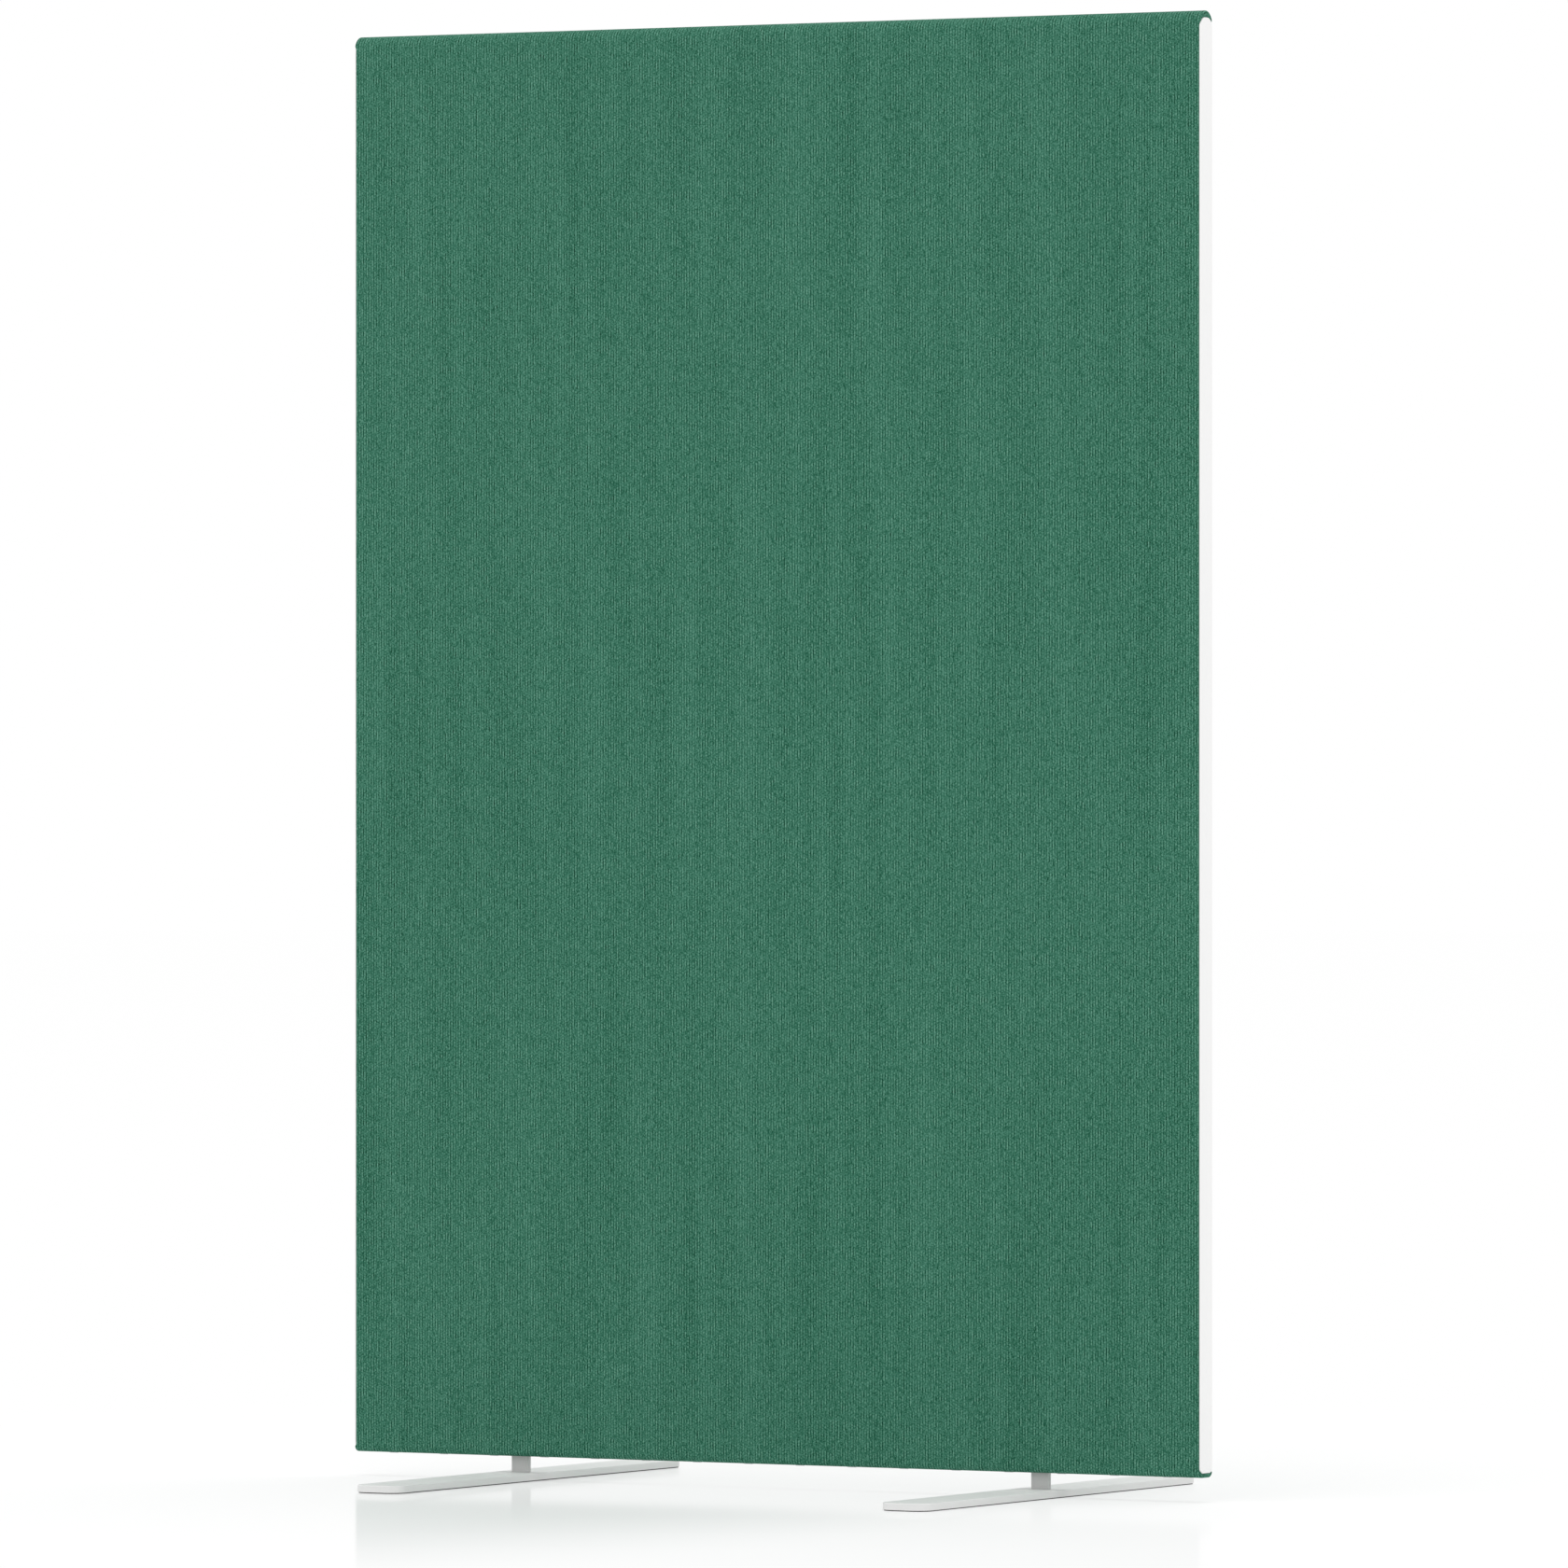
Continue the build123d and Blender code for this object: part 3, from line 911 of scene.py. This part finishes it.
@dataclass
class Foot(SubAssembly):
    """Flat foot with its pad, the bar up into the panel, and the socket that takes the bar."""

    side: Side

    def finishes(self) -> dict[str, Finish]:
        """Powder coat on what shows, darker on the bar and weld as painted shade, bare metal
        inside the panel.

        Returns:
            Each node's finish.
        """
        side = self.side.value
        return {
            f"{side}_foot_plate": PLATE_COAT,
            f"{side}_foot_bar": SHADED_BAR_COAT,
            f"{side}_bar_weld": SHADED_WELD_COAT,
            f"{side}_foot_pad": PAD_RUBBER,
            f"{side}_socket_plate": ZINC,
            f"{side}_bar_spring": SPRING_STEEL,
        }


@dataclass(frozen=True)
class Row:
    """One row of the cloth, across the panel: its place on the outline and its outward way."""

    y: float
    z: float
    out_y: float
    out_z: float

    def inside(self, deep: float) -> Pair:
        """Place that lies so deep in from the outline."""
        return self.y - self.out_y * deep, self.z - self.out_z * deep


@dataclass
class ClothCover(SubAssembly):
    """Cloth drawn over the panel, tucked in under the edge strips and closed underneath."""

    low: Vector
    high: Vector
    strip_bottom: float
    strip_top: float
    bars: list[tuple[Vector, Vector]]
    thickness: float = 1.0 * MM
    flat_size: Pair = (1.02, 3.0)
    bottom_radius: float = 6.0 * MM
    fold_radius: float = 1.2 * MM
    land_fold: float = 1.5 * MM
    land_rim: float = 2.4 * MM
    rim_drop: float = 0.9 * MM
    rim_foot: float = 0.15 * MM
    tip_land: float = 2.0 * MM
    least_land: float = 0.8 * MM
    tuck: float = 9.5 * MM
    corner_tuck: float = 5.6 * MM
    strip_thickness: float = 1.5 * MM
    strip_top_radius: float = 10.0 * MM
    strip_bottom_radius: float = 5.5 * MM
    strip_gap: float = 0.35 * MM
    slot_gap: float = 0.6 * MM
    hem_line: float = 2.0 * MM
    hem_width: float = 0.7 * MM
    hem_depth: float = 0.8 * MM
    hem_wander: float = 0.18 * MM
    mesh_name: str = "woven_cover"
    middle_y: float = field(init=False)
    half: float = field(init=False)
    arc_z: float = field(init=False)
    corner_z: float = field(init=False)
    hem_y: float = field(init=False)

    SPANS = 60
    LAND_TRIES = 60
    FOLD_STEPS = 6
    RIM_STEPS = 4
    SEAT_STEPS = 3
    CORNER_STEPS = 8
    TOP_STEPS = 28
    LOW_LEVELS = (0.5, 1.0, 1.5, 2.0, 2.6, 4.0, 7.0, 10.0, 14.0)
    HIGH_LEVELS = (8.0, 5.0, 3.0, 2.4, 2.0, 1.6, 1.2, 0.8, 0.4)
    CORNER_TUCK_LEVELS = 5
    HEM_WAVES = ((61.0, 0.0, 1.0), (157.0, 1.3, 0.6))
    CUT_SLACK = 1e-7
    SHARP_FROM = math.radians(40)
    FLAT_WEIGHT = 90

    def __post_init__(self) -> None:
        """Works out the section's middle lines."""
        self.middle_y = (self.low.y + self.high.y) / 2
        self.half = (self.high.y - self.low.y) / 2
        self.arc_z = self.high.z - self.half
        self.corner_z = self.low.z + self.bottom_radius
        self.hem_y = self.low.y + self.bottom_radius + self.hem_line

    @classmethod
    def from_frame(cls, nodes: Mapping[str, bpy.types.Object]) -> ClothCover:
        """Takes the panel's, strips' and bars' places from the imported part.

        Args:
            nodes: The part's nodes by name.

        Returns:
            The cover, not yet built.
        """
        low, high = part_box("fabric_cover")
        strip_low, strip_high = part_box("right_edge_strip")
        bars = [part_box("left_foot_bar"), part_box("right_foot_bar")]
        return cls(nodes, low, high, strip_low.z, strip_high.z, bars)

    def finishes(self) -> dict[str, Finish]:
        """Cloth on the plain cover too, which the built one hides."""
        return {"fabric_cover": COVER_CLOTH}

    @staticmethod
    def arc(
        y: float, z: float, radius: float, first: float, last: float, steps: int
    ) -> list[Row]:
        """Follows a rounded part of the outline, where a turn of 0 faces the front.

        Args:
            y: The middle of the round, from front to back.
            z: Its height.
            radius: The outline's distance from that middle.
            first: The turn at the first row.
            last: The turn at the last one.
            steps: How many steps the rows make.

        Returns:
            The rows.
        """
        rows = []
        for turn in spaced(first, last, steps):
            out_y, out_z = -math.cos(turn), math.sin(turn)
            rows.append(Row(y + radius * out_y, z + radius * out_z, out_y, out_z))
        return rows

    def course(self) -> list[Row]:
        """Follows the panel's outline from the hem up the front, over the top and back.

        Returns:
            The cloth's rows in order, the last one where the first one is.
        """
        flat, quarter = self.half - self.bottom_radius, math.pi / 2
        corner = (self.corner_z, self.bottom_radius)
        levels = [self.corner_z + step * MM for step in self.LOW_LEVELS]
        levels += [self.arc_z - step * MM for step in self.HIGH_LEVELS]
        start, end = (
            [Row(self.hem_y + aside, self.low.z, 0.0, -1.0) for aside in sides]
            for sides in ((0.0, -self.hem_width), (self.hem_width, 0.0))
        )
        return [
            *start,
            *self.arc(self.middle_y - flat, *corner, -quarter, 0.0, self.CORNER_STEPS),
            *(Row(self.low.y, level, -1.0, 0.0) for level in levels),
            *self.arc(self.middle_y, self.arc_z, self.half, 0.0, math.pi, self.TOP_STEPS),
            *(Row(self.high.y, level, 1.0, 0.0) for level in reversed(levels)),
            *self.arc(
                self.middle_y + flat, *corner, 2 * quarter, 3 * quarter, self.CORNER_STEPS
            ),
            *end,
        ]

    def clear_of_strip(self, y: float, z: float) -> float:
        """Measures how far a point lies from the room that an edge strip takes up.

        Args:
            y: The point's place from front to back.
            z: Its height.

        Returns:
            The distance, below 0 inside that room.
        """
        bottom, top = self.strip_bottom - self.strip_gap, self.strip_top + self.strip_gap
        upper = z > (bottom + top) / 2
        radius = self.strip_gap + (self.strip_top_radius if upper else self.strip_bottom_radius)
        aside = max(abs(y - self.middle_y) - (self.half + self.strip_gap - radius), 0.0)
        above = max(z - (top - radius), bottom + radius - z, 0.0)
        return math.hypot(aside, above) - radius

    def land(self, row: Row) -> float:
        """Measures the cloth that shows between the outline and the strip's end at a row.

        Args:
            row: The row of the cloth.

        Returns:
            Its width, or 0 beside the strip.
        """
        depth = 0.0
        for _ in range(self.LAND_TRIES):
            depth += self.clear_of_strip(*row.inside(depth))
        return max(depth, 0.0)

    def reach(self, row: Row) -> float:
        """Measures how far in from the outline the cloth's edge lies at a row.

        Args:
            row: The row of the cloth.

        Returns:
            The depth of the edge.
        """
        first = self.LOW_LEVELS[self.CORNER_TUCK_LEVELS - 1] * MM
        last = self.LOW_LEVELS[-1] * MM
        share = (row.z - self.corner_z - first) / (last - first)
        return self.corner_tuck + (self.tuck - self.corner_tuck) * min(max(share, 0.0), 1.0)

    def turn_in(self, row: Row) -> list[Pair]:
        """Works out how the cloth turns in round the panel's end at a row.

        Beside the strip it folds straight down to the strip's seat. Above and below the strip
        it keeps a land as high as the strip, which runs out in a soft tip on each side.

        Args:
            row: The row of the cloth.

        Returns:
            Points from the face inwards: how far out along X, and how deep from the outline.
        """
        land, seat = self.land(row), self.high.x - self.strip_thickness
        full = self.land_fold + self.land_rim
        share = min(land / self.tip_land, 1.0)
        width = max(land, self.least_land)
        fold = min(width, full) * self.land_fold / full
        rim = min(width, full) - fold
        path = []
        for turn in spaced(0.0, math.pi / 2, self.FOLD_STEPS):
            out = self.high.x - self.land_fold * (1 - math.sin(turn))
            path.append((out, fold * (1 - math.cos(turn))))
        for turn in spaced(0.0, math.pi / 2, self.RIM_STEPS):
            deep = max(width - rim + rim * math.sin(turn), fold + self.rim_foot / 3)
            path.append((self.high.x - self.rim_drop * (1 - math.cos(turn)), deep))
        path.append((seat + 2 * self.rim_foot, width + self.rim_foot / 3))
        path.append((seat, width + self.rim_foot))
        start = max(width + 3 * self.rim_foot, self.fold_radius)
        path += [(seat, deep) for deep in spaced(start, self.reach(row), self.SEAT_STEPS)]
        points = []
        for out, deep in path:
            short = max(self.fold_radius - deep, 0.0)
            plain = seat - self.fold_radius + math.sqrt(self.fold_radius**2 - short**2)
            points.append((plain + share * (out - plain), deep))
        return points

    def line(self, row: Row) -> list[tuple[Vector, float]]:
        """Lays one row of the cloth from end to end of the panel.

        Args:
            row: The row's place.

        Returns:
            The row's points, each with its distance across the flat cloth.
        """
        ends = self.turn_in(row)
        edge = ends[0][0]
        inner = spaced(-edge, edge, self.SPANS)[1:-1]
        across, previous, side = edge, ends[0], []
        for out, deep in ends:
            across += math.hypot(out - previous[0], deep - previous[1])
            previous = (out, deep)
            side.append((Vector((out, *row.inside(deep))), across))
        left = [(Vector((-spot.x, spot.y, spot.z)), -across) for spot, across in reversed(side)]
        return left + [(Vector((x, row.y, row.z)), x) for x in inner] + side

    def wrap(self) -> bmesh.types.BMesh:
        """Wraps a flat sheet round the panel, and maps it as it was laid out flat.

        Returns:
            The cloth as one open skin, joined at the hem.
        """
        rows = self.course()
        lines = [self.line(row) for row in rows]
        bm = bmesh.new()
        across, along = len(lines[0]) - 1, len(rows) - 1
        bmesh.ops.create_grid(bm, x_segments=across, y_segments=along, size=0.5)
        run, runs = 0.0, [0.0]
        for before, after in zip(rows, rows[1:]):
            run += math.hypot(after.y - before.y, after.z - before.z)
            runs.append(run)
        cell = {
            vert: (round((vert.co.x + 0.5) * across), round((vert.co.y + 0.5) * along))
            for vert in bm.verts
        }
        layer = bm.loops.layers.uv.new(COVER_CLOTH.map_name)
        for face in bm.faces:
            for loop in face.loops:
                column, number = cell[loop.vert]
                loop[layer].uv = (lines[number][column][1], runs[number])
        for vert, (column, number) in cell.items():
            vert.co = lines[number][column][0]
        self.press_hem([vert for vert, (_, number) in cell.items() if number in (0, along)])
        bmesh.ops.remove_doubles(bm, verts=bm.verts, dist=TOUCH / 10)
        return bm

    def press_hem(self, verts: Iterable[bmesh.types.BMVert]) -> None:
        """Presses in the line where the cloth's two ends meet, a little uneven by hand.

        Args:
            verts: The points of the two ends.
        """
        for vert in verts:
            if abs(vert.co.x) < self.high.x - self.tuck:
                vert.co.y += self.hem_wander * sum(
                    size * math.sin(vert.co.x * pace + start)
                    for pace, start, size in self.HEM_WAVES
                )
                vert.co.z += self.hem_depth

    def under(self, face: bmesh.types.BMFace) -> bool:
        """Whether a face lies flat under the panel."""
        return all(vert.co.z < self.low.z + TOUCH for vert in face.verts)

    def cut_under(self, bm: bmesh.types.BMesh, point: Triple, way: Triple) -> None:
        """Cuts the faces under the panel along a plane, and keeps both sides.

        Args:
            bm: The cloth.
            point: A point of the plane.
            way: The plane's normal.
        """
        geom: set[Any] = set()
        for face in filter(self.under, bm.faces):
            geom.update((face, *face.edges, *face.verts))
        bmesh.ops.bisect_plane(
            bm, geom=list(geom), dist=self.CUT_SLACK, plane_co=point, plane_no=way
        )

    def open_slots(self, bm: bmesh.types.BMesh) -> None:
        """Opens the cloth under the panel where the foot bars go in.

        Args:
            bm: The cloth.
        """
        for low, high in self.bars:
            left, right = low.x - self.slot_gap, high.x + self.slot_gap
            front, back = low.y - self.slot_gap, high.y + self.slot_gap
            for x in (left, right):
                self.cut_under(bm, (x, 0.0, 0.0), (1.0, 0.0, 0.0))
            for y in (front, back):
                self.cut_under(bm, (0.0, y, 0.0), (0.0, 1.0, 0.0))
            gone = []
            for face in filter(self.under, bm.faces):
                spot = face.calc_center_median()
                if left < spot.x < right and front < spot.y < back:
                    gone.append(face)
            bmesh.ops.delete(bm, geom=gone, context="FACES")

    def thicken(self, piece: bpy.types.Object) -> None:
        """Gives the skin its thickness, and keeps the flats flat in the light.

        Args:
            piece: The cover.
        """
        piece.data.shade_smooth()
        piece.data.set_sharp_from_angle(angle=self.SHARP_FROM)
        wall = piece.modifiers.new("cloth thickness", "SOLIDIFY")
        wall.thickness = self.thickness
        wall.offset = -1.0
        wall.use_even_offset = False
        level = piece.modifiers.new("even shading", "WEIGHTED_NORMAL")
        level.keep_sharp = True
        level.weight = self.FLAT_WEIGHT

    def build(self) -> bpy.types.Object:
        """Makes the cover and hangs it in place of the plain one.

        Returns:
            The finished piece.
        """
        bm = self.wrap()
        self.open_slots(bm)
        piece = as_object(bm, self.mesh_name)
        self.thicken(piece)
        piece.data.materials.append(COVER_CLOTH.material())
        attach(piece, "root")
        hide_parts("fabric_cover")
        LOG.info("%s: %d faces", piece.name, len(piece.data.polygons))
        return piece


def add_object(name: str, data: bpy.types.ID) -> bpy.types.Object:
    """Puts something into the scene.

    Args:
        name: The object's name.
        data: Its mesh, camera or light.

    Returns:
        The object.
    """
    made = bpy.data.objects.new(name, data)
    bpy.context.scene.collection.objects.link(made)
    return made


def as_object(bm: bmesh.types.BMesh, name: str) -> bpy.types.Object:
    """Turns a finished bmesh into an object in the scene.

    Args:
        bm: The mesh, which is freed.
        name: The object's name.

    Returns:
        The object.
    """
    mesh = bpy.data.meshes.new(name)
    bm.to_mesh(mesh)
    bm.free()
    return add_object(name, mesh)


@dataclass
class Studio:
    """Pale floor, soft light and the camera."""

    camera_distance: float = 13.29325
    camera_height: float = 0.7625
    camera_turn: float = math.radians(30.02)
    image_side: float = 1680.0
    focal_pixels: float = 13903.32
    middle_pixel: Pair = (831.24, 797.2)
    sensor: float = 36.0
    room_light: float = 1.0
    lamp_strength: float = 0.55
    lamp_angle: float = math.radians(1.5)
    sight: float = 100.0
    floor_radius: float = 40.0
    floor_sides: int = 96
    floor_drop: float = 0.05 * MM
    lit_floor: Pair = (0.5, 1.9)
    mirror_floor: Pair = (0.0, 1.8)
    mirror_side: Pair = (0.0, 0.5)
    gloss_near: float = 0.30
    gloss_far: float = 0.045
    gloss_side: float = 0.3
    gloss_rough: float = 0.10
    floor_bounce: float = 0.86
    floor_shown: float = 0.93
    glow_near: float = 0.55

    def set_camera(self, aim_y: float) -> None:
        """Puts the camera level, to the right of the panel's front.

        Args:
            aim_y: The panel's middle plane, which the camera is turned about.
        """
        data = bpy.data.cameras.new("camera")
        data.sensor_width = self.sensor
        data.lens = self.focal_pixels * self.sensor / self.image_side
        half = self.image_side / 2
        data.shift_x = (half - self.middle_pixel[0]) / self.image_side
        data.shift_y = (self.middle_pixel[1] - half) / self.image_side
        data.clip_end = self.sight
        camera = add_object("camera", data)
        camera.location = (
            self.camera_distance * math.sin(self.camera_turn),
            aim_y - self.camera_distance * math.cos(self.camera_turn),
            self.camera_height,
        )
        camera.rotation_euler = (math.pi / 2, 0.0, self.camera_turn)
        bpy.context.scene.camera = camera

    def set_world(self) -> None:
        """Lights the object evenly from all round, in a white that shows as white."""
        world = bpy.data.worlds.new("white room")
        world.use_nodes = True
        bpy.context.scene.world = world
        background = world.node_tree.nodes["Background"]
        background.inputs["Color"].default_value = (1.0, 1.0, 1.0, 1.0)
        background.inputs["Strength"].default_value = self.room_light

    @staticmethod
    def seen(graph: Graph) -> Socket:
        """Tells what the camera sees from what only lights the object.

        Args:
            graph: The material's graph.

        Returns:
            1 where the camera sees the surface, straight or in metal or glass.
        """
        path = graph.add("ShaderNodeLightPath").outputs
        straight = graph.maths("MAXIMUM", path["Is Camera Ray"], path["Is Glossy Ray"])
        return graph.maths("MAXIMUM", straight, path["Is Transmission Ray"])

    def lay_floor(self, aim_y: float) -> bpy.types.Object:
        """Lays a wide pale floor, glossy near the panel, which keeps the object's shadow.

        Args:
            aim_y: The panel's middle plane, from which the gloss fades.

        Returns:
            The floor.
        """
        bm = bmesh.new()
        bmesh.ops.create_circle(
            bm, cap_ends=True, segments=self.floor_sides, radius=self.floor_radius
        )
        bmesh.ops.translate(bm, verts=bm.verts, vec=(0.0, 0.0, -self.floor_drop))
        floor = as_object(bm, "studio_floor")
        material = bpy.data.materials.new("studio floor")
        material.use_nodes = True
        graph = Graph(material.node_tree)
        graph.tree.nodes.remove(graph.surface)
        matt, bright = (
            graph.add("ShaderNodeBsdfDiffuse", {"Color": (level, level, level, 1.0)})
            for level in (self.floor_bounce, self.floor_shown)
        )
        glow = graph.add("ShaderNodeEmission", {"Strength": 1.0})
        place = graph.add("ShaderNodeTexCoord").outputs["Object"]
        beside, along, _ = graph.axes(place)
        before = graph.maths("ABSOLUTE", graph.maths("SUBTRACT", along, aim_y))
        mirror = graph.maths(
            "MULTIPLY",
            graph.soft(before, self.mirror_floor, self.gloss_near, self.gloss_far),
            graph.soft(beside, self.mirror_side, 1.0, self.gloss_side),
        )
        away = graph.add("ShaderNodeVectorMath", {0: place}, operation="LENGTH")
        share = graph.soft(away.outputs["Value"], self.lit_floor, self.glow_near, 1.0)
        gloss = graph.add(
            "ShaderNodeBsdfAnisotropic",
            {"Color": (1.0, 1.0, 1.0, 1.0), "Roughness": self.gloss_rough},
        )
        pale = graph.mixed(share, bright.outputs[0], glow.outputs[0])
        shown = graph.mixed(mirror, pale, gloss.outputs[0])
        both = graph.mixed(self.seen(graph), matt.outputs[0], shown)
        graph.feed(graph.tree.nodes["Material Output"].inputs["Surface"], both)
        floor.data.materials.append(material)
        return floor

    def hang_lamp(self) -> None:
        """Lights from straight above, for the thin line of shade under the panel."""
        data = bpy.data.lights.new("overhead", "SUN")
        data.energy = self.lamp_strength
        data.angle = self.lamp_angle
        add_object("overhead", data)

    def build(self, aim_y: float) -> None:
        """Sets up camera, light and floor.

        Args:
            aim_y: The panel's middle plane.
        """
        self.set_camera(aim_y)
        self.set_world()
        self.lay_floor(aim_y)
        self.hang_lamp()
        bpy.context.scene.view_settings.view_transform = "Standard"
        LOG.info("studio: camera, world, floor and lamp")


def main() -> None:
    """Builds the dressed screen piece by piece."""
    logging.basicConfig(level=logging.INFO, format="%(name)s: %(message)s")
    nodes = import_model()["nodes"]
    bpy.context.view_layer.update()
    cover = ClothCover.from_frame(nodes)
    parts = [TimberFrame(nodes), Filling(nodes), Fasteners(nodes), cover]
    parts += [EdgeStrip(nodes, side) for side in Side] + [Foot(nodes, side) for side in Side]
    for part in parts:
        part.dress()
    cover.build()
    Studio().build(cover.middle_y)


if __name__ == "__main__":
    main()
